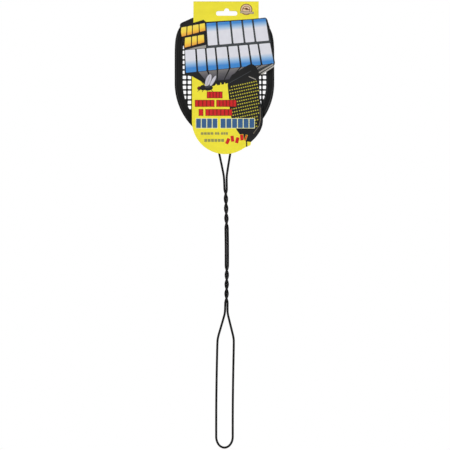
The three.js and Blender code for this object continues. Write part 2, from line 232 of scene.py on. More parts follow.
def make_world():
    """White behind the object, and a softer, dimmer white as its surroundings' light."""
    world = bpy.data.worlds.new("studio")
    bpy.context.scene.world = world
    world.use_nodes = True
    tree = world.node_tree
    tree.nodes.clear()
    seen = tree.nodes.new("ShaderNodeBackground")
    seen.inputs["Color"].default_value = (1, 1, 1, 1)
    seen.inputs["Strength"].default_value = BACKDROP_STRENGTH
    around = tree.nodes.new("ShaderNodeBackground")
    around.inputs["Color"].default_value = (1, 1, 1, 1)
    around.inputs["Strength"].default_value = SURROUNDINGS_STRENGTH
    path = tree.nodes.new("ShaderNodeLightPath")
    mix = tree.nodes.new("ShaderNodeMixShader")
    out = tree.nodes.new("ShaderNodeOutputWorld")
    tree.links.new(path.outputs["Is Camera Ray"], mix.inputs["Fac"])
    tree.links.new(around.outputs["Background"], mix.inputs[1])
    tree.links.new(seen.outputs["Background"], mix.inputs[2])
    tree.links.new(mix.outputs["Shader"], out.inputs["Surface"])


def make_floor():
    """A pale disc well below the object."""
    mesh = bpy.data.meshes.new("floor")
    bm = bmesh.new()
    bmesh.ops.create_circle(bm, cap_ends=True, radius=FLOOR_RADIUS, segments=96)
    bm.to_mesh(mesh)
    bm.free()
    floor = bpy.data.objects.new("floor", mesh)
    floor.location = (0, 0, FLOOR_Z)
    material, _, shader = new_material("floor_pale")
    shader.inputs["Base Color"].default_value = (0.82, 0.82, 0.81, 1)
    shader.inputs["Roughness"].default_value = 0.6
    shader.inputs["Emission Color"].default_value = (1, 1, 1, 1)
    shader.inputs["Emission Strength"].default_value = FLOOR_GLOW
    mesh.materials.append(material)
    bpy.context.scene.collection.objects.link(floor)


# ---- Materials ----

def new_material(name):
    material = bpy.data.materials.new(name)
    material.use_nodes = True
    tree = material.node_tree
    return material, tree, tree.nodes["Principled BSDF"]


def object_coordinates(tree):
    return tree.nodes.new("ShaderNodeTexCoord").outputs["Object"]


def noise(tree, scale, detail=3.0, roughness=0.55):
    node = tree.nodes.new("ShaderNodeTexNoise")
    node.inputs["Scale"].default_value = scale
    node.inputs["Detail"].default_value = detail
    node.inputs["Roughness"].default_value = roughness
    tree.links.new(object_coordinates(tree), node.inputs["Vector"])
    return node.outputs["Fac"]


def spread(tree, value, low, high):
    """Maps a noise value around its middle onto the range from low to high."""
    node = tree.nodes.new("ShaderNodeMapRange")
    node.inputs["From Min"].default_value = 0.3
    node.inputs["From Max"].default_value = 0.7
    node.inputs["To Min"].default_value = low
    node.inputs["To Max"].default_value = high
    tree.links.new(value, node.inputs["Value"])
    return node.outputs["Result"]


def blend_colours(tree, factor, first, second):
    node = tree.nodes.new("ShaderNodeMix")
    node.data_type = "RGBA"
    node.inputs["A"].default_value = (*first, 1)
    node.inputs["B"].default_value = (*second, 1)
    tree.links.new(factor, node.inputs["Factor"])
    return node.outputs["Result"]


def add_bump(tree, shader, height, depth, strength=1.0):
    node = tree.nodes.new("ShaderNodeBump")
    node.inputs["Distance"].default_value = depth
    node.inputs["Strength"].default_value = strength
    tree.links.new(height, node.inputs["Height"])
    tree.links.new(node.outputs["Normal"], shader.inputs["Normal"])


def black_plastic():
    """Moulded black plastic: fine spark texture, faint flow marks and uneven sheen."""
    material, tree, shader = new_material("black_plastic")
    flow = spread(tree, noise(tree, 35, 2), 0, 1)
    colour = blend_colours(tree, flow, (0.0045, 0.0047, 0.0047), (0.0072, 0.0071, 0.0068))
    tree.links.new(colour, shader.inputs["Base Color"])
    tree.links.new(spread(tree, noise(tree, 60, 4), 0.36, 0.5), shader.inputs["Roughness"])
    shader.inputs["Specular IOR Level"].default_value = 0.23
    add_bump(tree, shader, noise(tree, 2600, 2), 0.02 * MM, 0.6)
    return material


def black_enamel():
    """Baked black coating on wire: smooth with a slight orange peel, thin in places."""
    material, tree, shader = new_material("black_enamel")
    thin = spread(tree, noise(tree, 240, 3), 0, 1)
    colour = blend_colours(tree, thin, (0.0042, 0.0039, 0.0036), (0.0068, 0.0062, 0.0056))
    tree.links.new(colour, shader.inputs["Base Color"])
    tree.links.new(spread(tree, noise(tree, 420, 4), 0.34, 0.5), shader.inputs["Roughness"])
    shader.inputs["Specular IOR Level"].default_value = 0.16
    add_bump(tree, shader, noise(tree, 900, 3), 0.03 * MM, 0.5)
    return material


# ---- Mesh helpers ----

def link_piece(name, mesh, body):
    piece = bpy.data.objects.new(name, mesh)
    bpy.context.scene.collection.objects.link(piece)
    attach(piece, body)
    return piece


def finished_mesh(bm, name, sharp_degrees, materials):
    """A smooth-shaded mesh with sharp edges where faces meet at more than sharp_degrees."""
    mesh = bpy.data.meshes.new(name)
    bm.to_mesh(mesh)
    bm.free()
    mesh.polygons.foreach_set("use_smooth", [True] * len(mesh.polygons))
    mesh.set_sharp_from_angle(angle=math.radians(sharp_degrees))
    for material in materials:
        mesh.materials.append(material)
    return mesh


def close_plate(bm, triangles, front, back):
    """Makes the faces of a closed plate from the triangles of its outline. Returns those of
    its front, of its back and of the walls round its edge and its holes."""
    front_faces = []
    back_faces = []
    edge_uses = {}
    for triangle in triangles:
        front_faces.append(bm.faces.new([front[i] for i in triangle]))
        back_faces.append(bm.faces.new([back[i] for i in reversed(triangle)]))
        for start, end in zip(triangle, triangle[1:] + triangle[:1]):
            edge_uses.setdefault(frozenset((start, end)), []).append((start, end))
    walls = []
    for uses in edge_uses.values():
        if len(uses) == 1:
            start, end = uses[0]
            walls.append(bm.faces.new((front[end], front[start], back[start], back[end])))
    loose = [v for v in bm.verts if not v.link_faces]
    bmesh.ops.delete(bm, geom=loose, context="VERTS")
    return front_faces, back_faces, walls


def add_ring(bm, centre, across, up, radius, sides):
    """Points on a circle round centre, in the plane of two unit vectors."""
    ring = []
    for i in range(sides):
        angle = 2 * math.pi * i / sides
        out = across * math.cos(angle) + up * math.sin(angle)
        ring.append(bm.verts.new(centre + out * radius))
    return ring


def join_rings(bm, rings, sides):
    """Faces between each ring and the next. A ring of one point draws them together."""
    for first, second in zip(rings, rings[1:]):
        for i in range(sides):
            j = (i + 1) % sides
            corners = [first[i % len(first)], first[j % len(first)]]
            corners += [second[j % len(second)], second[i % len(second)]]
            bm.faces.new(list(dict.fromkeys(corners)))


def anticlockwise(outline):
    area = sum(ax * bz - bx * az for (ax, az), (bx, bz) in zip(outline, outline[1:] + outline[:1]))
    return outline if area > 0 else outline[::-1]


def triangulate_outlines(outlines, extra_lines, tolerance):
    """Cuts overlapping outlines into triangles. Returns the points, the triangles, the
    outlines that each triangle lies in, and the input points that each point came from."""
    points = []
    faces = []
    for outline in outlines:
        first = len(points)
        points.extend(Vector(p) for p in anticlockwise(outline))
        faces.append(list(range(first, len(points))))
    edges = []
    for start, end in extra_lines:
        edges.append((len(points), len(points) + 1))
        points.extend((Vector(start), Vector(end)))
    result = delaunay_2d_cdt(points, edges, faces, 1, tolerance, True)
    found_points, _, triangles, point_sources, _, triangle_sources = result
    return found_points, triangles, triangle_sources, point_sources


def rounded_square(centre_x, centre_z, side, corner, corner_steps=3):
    reach = side / 2 - corner
    outline = []
    for quarter in range(4):
        middle = math.radians(45 + 90 * quarter)
        turn_x = centre_x + math.copysign(reach, math.cos(middle))
        turn_z = centre_z + math.copysign(reach, math.sin(middle))
        for step in range(corner_steps + 1):
            angle = math.pi / 2 * (quarter + step / corner_steps)
            outline.append((turn_x + corner * math.cos(angle), turn_z + corner * math.sin(angle)))
    return outline


def clip_to_convex(outline, fence):
    """The part of an outline that lies inside a convex, anticlockwise fence."""
    kept = outline
    for index, (ax, az) in enumerate(fence):
        bx, bz = fence[(index + 1) % len(fence)]
        sides = [(bx - ax) * (z - az) - (bz - az) * (x - ax) for x, z in kept]
        if min(sides, default=0) >= 0:
            continue
        clipped = []
        for i, (x, z) in enumerate(kept):
            before_x, before_z = kept[i - 1]
            here, before = sides[i], sides[i - 1]
            if (here >= 0) != (before >= 0):
                share = before / (before - here)
                clipped.append((before_x + share * (x - before_x), before_z + share * (z - before_z)))
            if here >= 0:
                clipped.append((x, z))
        kept = clipped
    return kept


# ---- Moulded head ----

def head_outline(inset, top_steps=150, arc_steps=50):
    """The head's outline, anticlockwise, moved inwards by inset: a squarish top, and two
    arcs that meet at the bottom."""
    half_width = HEAD_HALF_WIDTH - inset
    height = HEAD_TOP_Z - HEAD_WIDEST_Z - inset
    radius = BOTTOM_ARC_RADIUS - inset
    offset = BOTTOM_ARC_RADIUS - HEAD_HALF_WIDTH
    arc_end = math.acos(offset / radius)
    outline = []
    for i in range(top_steps + 1):
        angle = math.pi * i / top_steps
        across = abs(math.cos(angle)) ** (2 / SHOULDER_EXPONENT)
        up = abs(math.sin(angle)) ** (2 / SHOULDER_EXPONENT)
        x = math.copysign(half_width * across, math.cos(angle))
        outline.append((AXIS_X + x, HEAD_WIDEST_Z + height * up))
    for i in range(arc_steps + 1):
        angle = arc_end * i / arc_steps
        x = offset - radius * math.cos(angle)
        outline.append((AXIS_X + x, HEAD_SIDE_END_Z - radius * math.sin(angle)))
    for i in range(1, arc_steps + 1):
        angle = arc_end * (1 - i / arc_steps)
        x = radius * math.cos(angle) - offset
        outline.append((AXIS_X + x, HEAD_SIDE_END_Z - radius * math.sin(angle)))
    return outline


def is_inside_head(x, z, inset):
    half_width = HEAD_HALF_WIDTH - inset
    across = abs(x - AXIS_X)
    if z > HEAD_WIDEST_Z:
        up = (z - HEAD_WIDEST_Z) / (HEAD_TOP_Z - HEAD_WIDEST_Z - inset)
        return (across / half_width) ** SHOULDER_EXPONENT + up ** SHOULDER_EXPONENT < 1
    if z > HEAD_SIDE_END_Z:
        return across < half_width
    offset = BOTTOM_ARC_RADIUS - HEAD_HALF_WIDTH
    return math.hypot(across + offset, z - HEAD_SIDE_END_Z) < BOTTOM_ARC_RADIUS - inset


def hole_centres():
    centres = []
    for row in range(GRID_ROWS):
        z = GRID_FIRST_ROW_Z - row * HOLE_PITCH
        for column in range(-GRID_SIDE_COLUMNS, GRID_SIDE_COLUMNS + 1):
            x = AXIS_X + column * HOLE_PITCH
            in_neck = abs(x - AXIS_X) < GUSSET_HALF_WIDTH and z < GUSSET_TOP_Z
            if not in_neck and is_inside_head(x, z, BORDER_WIDTH - SLIVER_ALLOWANCE):
                centres.append((x, z))
    return centres


def make_head():
    """Border and grid as one closed skin: front and back are the same height field, joined
    round the outer edge and through every hole."""
    outlines = []
    heights = []
    for inset, half_thickness in BORDER_SECTION:
        outlines.append(head_outline(inset * MM))
        heights.append(half_thickness * MM)
    field_edge = outlines[-1]
    wall_fence = head_outline(BORDER_WIDTH + HOLE_BEVEL)
    hole_ids = set()
    for x, z in hole_centres():
        face = rounded_square(x, z, HOLE_SIDE + 2 * HOLE_BEVEL, HOLE_CORNER + HOLE_BEVEL)
        outlines.append(clip_to_convex(face, field_edge))
        heights.append(GRID_HALF_THICKNESS)
        hole_ids.add(len(outlines))
        outlines.append(clip_to_convex(rounded_square(x, z, HOLE_SIDE, HOLE_CORNER), wall_fence))
        heights.append(GRID_HALF_THICKNESS - HOLE_BEVEL)
    points, triangles, sources, point_sources = triangulate_outlines(outlines, [], 1e-7)
    height_of_input = []
    for outline, height in zip(outlines, heights):
        height_of_input.extend([height] * len(outline))
    bm = bmesh.new()
    front = []
    back = []
    for point, inputs in zip(points, point_sources):
        height = min((height_of_input[i] for i in inputs), default=GRID_HALF_THICKNESS)
        front.append(bm.verts.new((point.x, -height, point.y)))
        back.append(bm.verts.new((point.x, height, point.y)))
    solid = [triangle for triangle, inside in zip(triangles, sources) if hole_ids.isdisjoint(inside)]
    close_plate(bm, solid, front, back)
    bmesh.ops.recalc_face_normals(bm, faces=bm.faces)
    mesh = finished_mesh(bm, "head", 32, [plastic])
    return link_piece("paddle_head", mesh, "swatter")


# ---- Lines that the head and the wire share ----

def soft_step(rise, softness):
    """Zero where rise is negative and rise itself where it is positive, with a soft corner."""
    return (rise + math.hypot(rise, softness)) / 2


def run_distance(z):
    """Half the distance between the two runs of wire at height z."""
    reach = LOOP_HALF_WIDTH - STRAND_SPACING / 2
    closing = soft_step(TAPER_SLOPE * (z - TAPER_END_Z), BEND_SOFTNESS)
    rise = SPREAD_SLOPE * (SPREAD_START_Z - z)
    opening = soft_step(rise, BEND_SOFTNESS) - soft_step(rise - reach, BEND_SOFTNESS)
    return STRAND_SPACING / 2 + closing + opening


def handle_centre_x(z):
    """The handle bows a little to the right."""
    reach = BOW_REACH_UP if z > BOW_PEAK_Z else BOW_REACH_DOWN
    share = min(1, abs(z - BOW_PEAK_Z) / reach)
    return AXIS_X + BOW_DEPTH * math.cos(share * math.pi / 2) ** 2


def twist_angle(z):
    """How far the pair of runs has turned about the handle's axis at height z."""
    turns = 0
    for top_z, end_z in TWISTS_Z:
        share = (top_z - z) / (top_z - end_z)
        ramp = soft_step(share, TWIST_SOFTNESS) - soft_step(share - 1, TWIST_SOFTNESS)
        turns += TWIST_TURNS * ramp
    return -2 * math.pi * turns


def run_point(side, z):
    """The centre of the left (-1) or right (1) run of wire at height z."""
    distance = side * run_distance(z)
    angle = twist_angle(z)
    x = handle_centre_x(z) + distance * math.cos(angle)
    return Vector((x, distance * math.sin(angle), z))


# ---- Neck and sockets ----

def neck_outline():
    half = [
        (NECK_END_HALF_WIDTH, NECK_END_Z), (NECK_ROOT_HALF_WIDTH, NECK_ROOT_Z),
        (GUSSET_HALF_WIDTH, GUSSET_BASE_Z), (GUSSET_HALF_WIDTH, GUSSET_TOP_Z),
    ]
    right = [(AXIS_X + x, z) for x, z in half]
    left = [(AXIS_X - x, z) for x, z in reversed(half)]
    return right + left


def make_neck():
    """The web that carries the two sockets, from the grid down to the neck's end."""
    bm = bmesh.new()
    outline = neck_outline()
    front = [bm.verts.new((x, -NECK_HALF_THICKNESS, z)) for x, z in outline]
    face = bm.faces.new(front)
    pushed = bmesh.ops.extrude_face_region(bm, geom=[face])
    moved = [v for v in pushed["geom"] if isinstance(v, bmesh.types.BMVert)]
    bmesh.ops.translate(bm, verts=moved, vec=(0, 2 * NECK_HALF_THICKNESS, 0))
    bmesh.ops.recalc_face_normals(bm, faces=bm.faces)
    bmesh.ops.bevel(bm, geom=bm.edges[:], offset=NECK_BEVEL, segments=3, profile=0.6, affect="EDGES")
    link_piece("paddle_neck", finished_mesh(bm, "neck", 40, [plastic]), "swatter")


def socket_profile():
    """Radius and distance along the socket, from the bore's blind end round to the tip."""
    profile = [(0, BORE_DEPTH), (BORE_RADIUS, BORE_DEPTH), (BORE_RADIUS, BORE_LIP)]
    profile += [(BORE_RADIUS + BORE_LIP / 2, 0), (SOCKET_RADIUS - BORE_LIP, 0)]
    profile.append((SOCKET_RADIUS, BORE_LIP))
    tip_steps = 8
    shoulder = SOCKET_LENGTH - SOCKET_RADIUS
    for i in range(tip_steps + 1):
        angle = math.pi / 2 * i / tip_steps
        profile.append((SOCKET_RADIUS * math.cos(angle), shoulder + SOCKET_RADIUS * math.sin(angle)))
    return profile


def make_socket(name, side):
    """A blind tube round one end of the wire, in line with it."""
    start = run_point(side, NECK_END_Z)
    end = run_point(side, NECK_END_Z + SOCKET_LENGTH)
    along = (end - start).normalized()
    forward = Vector((0, 1, 0))
    across = along.cross(forward).normalized()
    bm = bmesh.new()
    rings = []
    for radius, distance in socket_profile():
        centre = start + along * distance
        if radius < POINT_RADIUS:
            rings.append([bm.verts.new(centre)])
        else:
            rings.append(add_ring(bm, centre, across, forward, radius, SOCKET_SIDES))
    join_rings(bm, rings, SOCKET_SIDES)
    bmesh.ops.recalc_face_normals(bm, faces=bm.faces)
    link_piece(name, finished_mesh(bm, name, 40, [plastic]), "swatter")


# ---- Wire handle ----

def wire_points():
    """The wire's centreline: down the left run, round the loop and up the right run."""
    heights = []
    z = WIRE_END_Z
    while z > LOOP_BEND_Z:
        heights.append(z)
        in_twist = any(top + TWIST_MARGIN > z > end - TWIST_MARGIN for top, end in TWISTS_Z)
        z -= TWIST_STEP if in_twist else WIRE_STEP
    heights.append(LOOP_BEND_Z)
    left = [run_point(-1, z) for z in heights]
    right = [run_point(1, z) for z in reversed(heights)]
    bend = []
    for i in range(1, LOOP_BEND_STEPS):
        angle = math.pi * i / LOOP_BEND_STEPS
        x = handle_centre_x(LOOP_BEND_Z) - LOOP_HALF_WIDTH * math.cos(angle)
        bend.append(Vector((x, 0, LOOP_BEND_Z - LOOP_BEND_DEPTH * math.sin(angle))))
    return left + bend + right


def make_wire():
    """A round bar swept along the wire's centreline, with flat cut ends."""
    points = wire_points()
    bm = bmesh.new()
    normal = Vector((0, 1, 0))
    rings = []
    for i, point in enumerate(points):
        before = points[max(i - 1, 0)]
        after = points[min(i + 1, len(points) - 1)]
        along = (after - before).normalized()
        normal = (normal - along * normal.dot(along)).normalized()
        rings.append(add_ring(bm, point, normal, along.cross(normal), WIRE_RADIUS, WIRE_SIDES))
    join_rings(bm, rings, WIRE_SIDES)
    bm.faces.new(list(reversed(rings[0])))
    bm.faces.new(rings[-1])
    bmesh.ops.recalc_face_normals(bm, faces=bm.faces)
    mesh = finished_mesh(bm, "wire", 50, [black_enamel()])
    wire = link_piece("bent_wire", mesh, "swatter")
    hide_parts("wire_handle")


# ---- Header card: inks ----

def srgb(red, green, blue):
    """A colour given as screen values from 0 to 255, in the linear values that shaders take."""
    def linear(value):
        share = value / 255
        return share / 12.92 if share < 0.04045 else ((share + 0.055) / 1.055) ** 2.4
    return tuple(linear(value) for value in (red, green, blue))


def shaded(colour, factor):
    return tuple(min(1, channel * factor) for channel in colour)


def coated_board(tree, shader):
    """The finish that all printed areas share: a thin varnish over slightly wavy board."""
    tree.links.new(spread(tree, noise(tree, 90, 4), 0.4, 0.52), shader.inputs["Roughness"])
    shader.inputs["Specular IOR Level"].default_value = 0.35
    shader.inputs["Coat Weight"].default_value = 0.12
    shader.inputs["Coat Roughness"].default_value = 0.25
    add_bump(tree, shader, noise(tree, 700, 5, 0.7), 0.03 * MM, 0.35)


def plain_ink(name, colour):
    """One printed colour, with the slight unevenness of ink on board."""
    material, tree, shader = new_material(name)
    uneven = spread(tree, noise(tree, 55, 6, 0.6), 0, 1)
    mixed = blend_colours(tree, uneven, shaded(colour, 0.96), shaded(colour, 1.03))
    tree.links.new(mixed, shader.inputs["Base Color"])
    coated_board(tree, shader)
    return material


def gradient_ink(name, slope, stops):
    """A printed blend down the card. slope is the rise of its level lines to the right, and
    each stop is a height in millimetres where x is 0, and the colour there."""
    material, tree, shader = new_material(name)
    axes = tree.nodes.new("ShaderNodeSeparateXYZ")
    tree.links.new(object_coordinates(tree), axes.inputs["Vector"])
    level = tree.nodes.new("ShaderNodeMath")
    level.operation = "MULTIPLY_ADD"
    level.inputs[1].default_value = -slope
    tree.links.new(axes.outputs["X"], level.inputs[0])
    tree.links.new(axes.outputs["Z"], level.inputs[2])
    lowest = min(height for height, _ in stops)
    highest = max(height for height, _ in stops)
    share = tree.nodes.new("ShaderNodeMapRange")
    share.inputs["From Min"].default_value = lowest * MM
    share.inputs["From Max"].default_value = highest * MM
    tree.links.new(level.outputs["Value"], share.inputs["Value"])
    ramp = tree.nodes.new("ShaderNodeValToRGB")
    elements = ramp.color_ramp.elements
    while len(elements) < len(stops):
        elements.new(0.5)
    for element, (height, colour) in zip(elements, sorted(stops)):
        element.position = (height - lowest) / (highest - lowest)
        element.color = (*colour, 1)
    tree.links.new(share.outputs["Result"], ramp.inputs["Fac"])
    uneven = spread(tree, noise(tree, 160, 5, 0.6), 0, 0.12)
    mix = tree.nodes.new("ShaderNodeMix")
    mix.data_type = "RGBA"
    mix.inputs["B"].default_value = (*srgb(168, 162, 178), 1)
    tree.links.new(uneven, mix.inputs["Factor"])
    tree.links.new(ramp.outputs["Color"], mix.inputs["A"])
    tree.links.new(mix.outputs["Result"], shader.inputs["Base Color"])
    coated_board(tree, shader)
    return material


def raw_board(name, light, dark):
    """Unprinted board: grey-white pulp with darker fibres."""
    material, tree, shader = new_material(name)
    fibres = spread(tree, noise(tree, 900, 5, 0.7), 0, 1)
    tree.links.new(blend_colours(tree, fibres, light, dark), shader.inputs["Base Color"])
    shader.inputs["Roughness"].default_value = 0.85
    add_bump(tree, shader, noise(tree, 1400, 4), 0.04 * MM, 0.6)
    return material


def card_inks():
    silver = srgb(224, 224, 232)
    pale_blue = srgb(150, 190, 226)
    blue = srgb(52, 134, 208)
    return [
        plain_ink("ink_yellow", srgb(240, 227, 58)),
        plain_ink("ink_black", srgb(26, 26, 27)),
        plain_ink("ink_dark_grey", srgb(68, 73, 76)),
        plain_ink("ink_light_grey", srgb(158, 154, 148)),
        plain_ink("ink_white", srgb(236, 236, 230)),
        plain_ink("ink_silver", srgb(180, 177, 170)),
        plain_ink("ink_pale_yellow", srgb(232, 232, 176)),
        plain_ink("ink_red", srgb(206, 32, 34)),
        plain_ink("ink_dark_red", srgb(128, 30, 16)),
        plain_ink("ink_slate_blue", srgb(58, 96, 140)),
        plain_ink("ink_text_grey", srgb(150, 146, 84)),
        plain_ink("ink_wing", srgb(198, 196, 206)),
        plain_ink("ink_brown", srgb(112, 66, 40)),
        plain_ink("ink_mauve_grey", srgb(158, 146, 124)),
        plain_ink("ink_peach", srgb(228, 196, 160)),
        plain_ink("ink_hole_yellow", srgb(196, 186, 58)),
        gradient_ink("ink_title_top", TITLE_SLOPE, [
            (-14.9, blue), (-17.5, blue), (-21, pale_blue), (-25, silver), (-41, silver)]),
        gradient_ink("ink_title_bottom", TITLE_SLOPE, [
            (-43, silver), (-55, silver), (-59.5, pale_blue), (-64, blue), (-70, blue)]),
        gradient_ink("ink_extrusion", TITLE_SLOPE, [
            (-66, srgb(132, 128, 122)), (-73, srgb(92, 90, 92)), (-81, srgb(44, 44, 52))]),
        gradient_ink("ink_emblem", EMBLEM_SLOPE, [
            (-9, srgb(252, 230, 84)), (-15, srgb(250, 214, 60)), (-19.5, srgb(238, 150, 36)),
            (-21, srgb(252, 230, 84)), (-28, srgb(250, 214, 60)), (-32.7, srgb(238, 150, 36))]),
        raw_board("board_inside", srgb(206, 203, 192), srgb(178, 175, 164)),
        raw_board("board_edge", srgb(226, 222, 196), srgb(200, 194, 150)),
    ]


# ---- Header card: shapes of the print ----

def arc(centre_x, centre_z, radius, start, end, steps=12):
    """Points on an arc. Angles are in degrees from +X towards +Z."""
    points = []
    for i in range(steps + 1):
        angle = math.radians(start + (end - start) * i / steps)
        points.append((centre_x + radius * math.cos(angle), centre_z + radius * math.sin(angle)))
    return points


def between(first, second, share):
    return tuple(a + share * (b - a) for a, b in zip(first, second))


def curve(start, control, end, steps=8):
    """Points on a curve from start to end, without the start itself."""
    points = []
    for i in range(1, steps + 1):
        share = i / steps
        towards = between(start, control, share)
        away = between(control, end, share)
        points.append(between(towards, away, share))
    return points


def rectangle(left, right, bottom, top):
    return [(left, bottom), (right, bottom), (right, top), (left, top)]


def disc(centre, radius_x, radius_z, tilt=0, steps=20):
    """An oval outline, turned by tilt degrees."""
    turn = math.radians(tilt)
    points = []
    for i in range(steps):
        angle = 2 * math.pi * i / steps
        x = radius_x * math.cos(angle)
        z = radius_z * math.sin(angle)
        points.append((
            centre[0] + x * math.cos(turn) - z * math.sin(turn),
            centre[1] + x * math.sin(turn) + z * math.cos(turn)))
    return points


def stroke(start, end, width):
    """A straight line with a width, as an outline."""
    along = Vector(end) - Vector(start)
    side = Vector((-along.y, along.x)).normalized() * width / 2
    return [tuple(Vector(p) + s) for p, s in ((start, -side), (end, -side), (end, side), (start, side))]


def grown(outline, distance):
    """A convex, anticlockwise outline moved outwards."""
    result = []
    for i, point in enumerate(outline):
        here = Vector(point)
        arriving = (here - Vector(outline[i - 1])).normalized()
        leaving = (Vector(outline[(i + 1) % len(outline)]) - here).normalized()
        out_before = Vector((arriving.y, -arriving.x))
        out_after = Vector((leaving.y, -leaving.x))
        mitre = (out_before + out_after) / (1 + out_before.dot(out_after))
        result.append(tuple(here + mitre * distance))
    return result


def rounded(outline, radius):
    """A convex outline with its corners rounded."""
    result = []
    for i, point in enumerate(outline):
        here = Vector(point)
        before = Vector(outline[i - 1])
        after = Vector(outline[(i + 1) % len(outline)])
        start = tuple(here + (before - here).normalized() * radius)
        end = tuple(here + (after - here).normalized() * radius)
        result.append(start)
        result.extend(curve(start, point, end, steps=4))
    return result


def blocks_in_row(corners, widths, gap):
    """Plain upright blocks that fill a four-cornered row, given from its bottom left corner
    anticlockwise."""
    bottom_left, bottom_right, top_right, top_left = corners
    total = sum(widths) + gap * (len(widths) - 1)
    blocks = []
    start = 0
    for width in widths:
        low = start / total
        high = (start + width) / total
        blocks.append([
            between(bottom_left, bottom_right, low), between(bottom_left, bottom_right, high),
            between(top_left, top_right, high), between(top_left, top_right, low)])
        start += width + gap
    return blocks


# ---- Header card: front print ----

def title_background():
    """The dark shape that the title stands on, out to the die-cut edge."""
    spikes = [(-13.2, -87.4), (-11.7, -85.2), (-10.6, -87.2)]
    spikes += [(-7.5, -86.6), (-6.7, -83.6), (-5.7, -86.4), (-3.1, -86), (-2.2, -83.4), (-1.4, -85.6)]
    dark = [(-CARD_REACH, 0), (TAB_LEFT_X, 0), (TAB_LEFT_X, -16.5), (-26.2, -13.0), (-23.3, -15.4)]
    dark += [(30, -12.1), (TAB_RIGHT_X, -11.2), (CARD_REACH, -9), (CARD_REACH, -84), (2.0, -84.5)]
    dark += list(reversed(spikes))
    dark += [(-17, -88.3), (-24, -87.4), (-27.6, -83.4), (-38.9, -77.0), (-CARD_REACH, -84)]
    return [("ink_black", dark)]


def title_print():
    """Two rows of plain blocks in place of lettering, with grey sides that run back to one
    point, as solid blocks seen from above."""
    top_row = blocks_in_row(TITLE_TOP_ROW, TITLE_TOP_WIDTHS, TITLE_GAP)
    bottom_row = blocks_in_row(TITLE_BOTTOM_ROW, TITLE_BOTTOM_WIDTHS, TITLE_GAP)
    behind_top_row = [(-22, -46.5), (-21.6, -17.6), (43.2, -12.2), (49.6, -38), (48.8, -42)]
    parts = [("ink_dark_grey", behind_top_row)]
    parts.append(("ink_light_grey", [(-46.0, -47.0), (-23.3, -44.9), (-23.3, -41.4), (-36.6, -44.4)]))
    for block in bottom_row[1:]:
        far_left = between(block[0], EXTRUSION_FOCUS, EXTRUSION_SHARE)
        far_right = between(block[1], EXTRUSION_FOCUS, EXTRUSION_SHARE)
        parts.append(("ink_extrusion", [far_left, far_right, block[1], block[0]]))
    for block in top_row + bottom_row:
        parts.append(("ink_black", grown(block, TITLE_OUTLINE)))
    parts += [("ink_title_top", rounded(block, TITLE_CORNER)) for block in top_row]
    parts += [("ink_title_bottom", rounded(block, TITLE_CORNER)) for block in bottom_row]
    return parts


def emblem_print():
    """Two short rows of tilted blocks on black, left of the title."""
    rows = [
        ([(-52.0, -32.6), (-24.0, -25.2), (-24.8, -16.8), (-51.2, -21.8)], [6, 5, 6.5, 6]),
        ([(-47.6, -44.6), (-25.4, -38.6), (-25.8, -29.8), (-47.0, -33.4)], [6.5, 5, 6.5]),
    ]
    parts = []
    for corners, widths in rows:
        for block in blocks_in_row(corners, widths, 1.1):
            parts.append(("ink_emblem", rounded(block, 0.7)))
    return parts


def seal_print():
    """A plain ringed seal with a ribbon, beside the hang slot."""
    return [
        ("ink_brown", disc(SEAL_CENTRE, 6.8, 6.4, steps=36)),
        ("ink_peach", disc(SEAL_CENTRE, 5.9, 5.5, steps=36)),
        ("ink_brown", disc(SEAL_CENTRE, 4.5, 4.0, steps=32)),
        ("ink_peach", disc(SEAL_CENTRE, 3.9, 3.4, steps=32)),
        ("ink_brown", stroke((18.2, -0.2), (26.0, -1.8), 1.0)),
        ("ink_brown", disc((22.4, -0.6), 1.7, 1.3, tilt=-12)),
        ("ink_mauve_grey", stroke((15.2, -4.3), (30.6, -5.2), 2.6)),
        ("ink_peach", stroke((16.4, -4.4), (29.4, -5.1), 0.7)),
    ]


def fly_print():
    """A plain house fly seen from the side, resting on the yellow field."""
    legs = [
        ((-28.5, -91.0), (-33.0, -94.0)), ((-26.0, -91.8), (-27.8, -94.8)),
        ((-22.5, -92.0), (-21.8, -95.0)), ((-18.5, -91.6), (-15.6, -94.2)),
        ((-25.0, -88.0), (-30.8, -79.2)), ((-17.5, -88.4), (-13.8, -86.4)),
    ]
    parts = [("ink_black", stroke(start, end, 0.6)) for start, end in legs]
    parts += [
        ("ink_wing", disc((-20.8, -81.6), 7.4, 2.9, tilt=70)),
        ("ink_light_grey", stroke((-22.6, -87.4), (-18.9, -76.2), 0.5)),
        ("ink_wing", disc((-15.6, -82.4), 7.0, 1.7, tilt=60)),
        ("ink_black", disc((-20.6, -90.3), 5.2, 2.9, tilt=6)),
        ("ink_black", disc((-26.8, -89.8), 3.5, 3.1)),
        ("ink_black", disc((-31.0, -90.4), 2.3, 2.1)),
        ("ink_dark_grey", disc((-20.8, -88.9), 3.0, 0.6, tilt=8)),
        ("ink_dark_red", disc((-31.6, -89.9), 0.9, 0.9)),
    ]
    return parts


def is_inside(x, z, outline):
    """Whether a point is inside a convex, anticlockwise outline."""
    for (ax, az), (bx, bz) in zip(outline, outline[1:] + outline[:1]):
        if (bx - ax) * (z - az) - (bz - az) * (x - ax) < 0:
            return False
    return True


